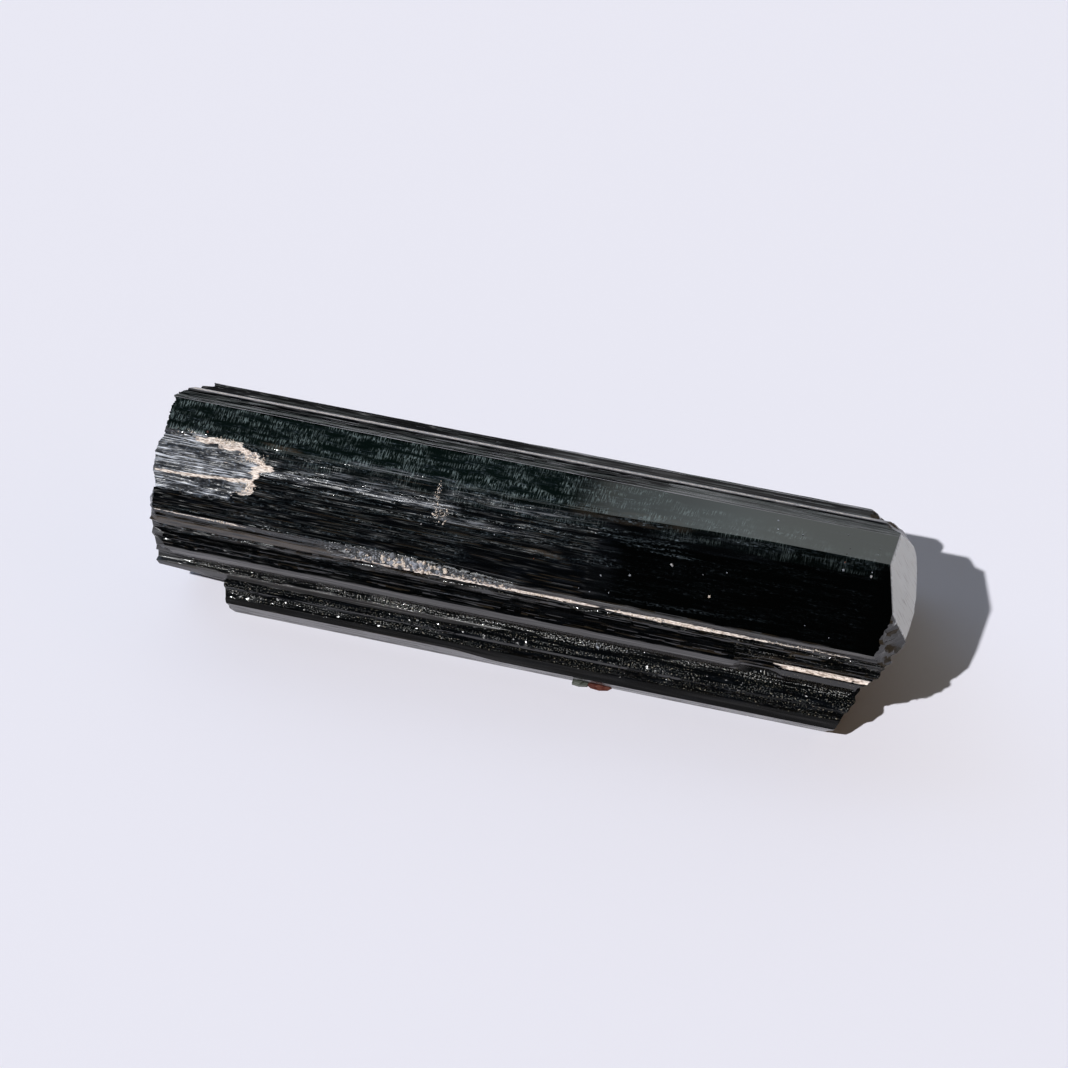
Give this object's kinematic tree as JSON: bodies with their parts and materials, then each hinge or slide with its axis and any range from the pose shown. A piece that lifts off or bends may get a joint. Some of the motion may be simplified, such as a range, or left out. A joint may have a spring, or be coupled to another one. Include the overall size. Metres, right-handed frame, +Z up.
{
  "type": "tourmaline crystal",
  "caption": "Black tourmaline crystal cluster lying on its side: a striated prism with a flat end face and two thinner crystals grown along it.",
  "frame": {"origin": "middle of the underside of the bounding box, on the surface the crystal lies on", "axes": "+X along the growth axis towards the flat end face, +Y towards the rear crystal, +Z up"},
  "size_m": [0.0614, 0.0198, 0.0126],
  "materials": {
    "tourmaline": "opaque black crystal, glossy prism faces with fine grooves along them",
    "mica": "thin red-brown mica flake, pearly",
    "mineral_crust": "cream to tan powdery feldspar and clay left in the grooves"
  },
  "bodies": {
    "root": {"tourmaline_crystal": "tourmaline"}
  },
  "joints": []
}
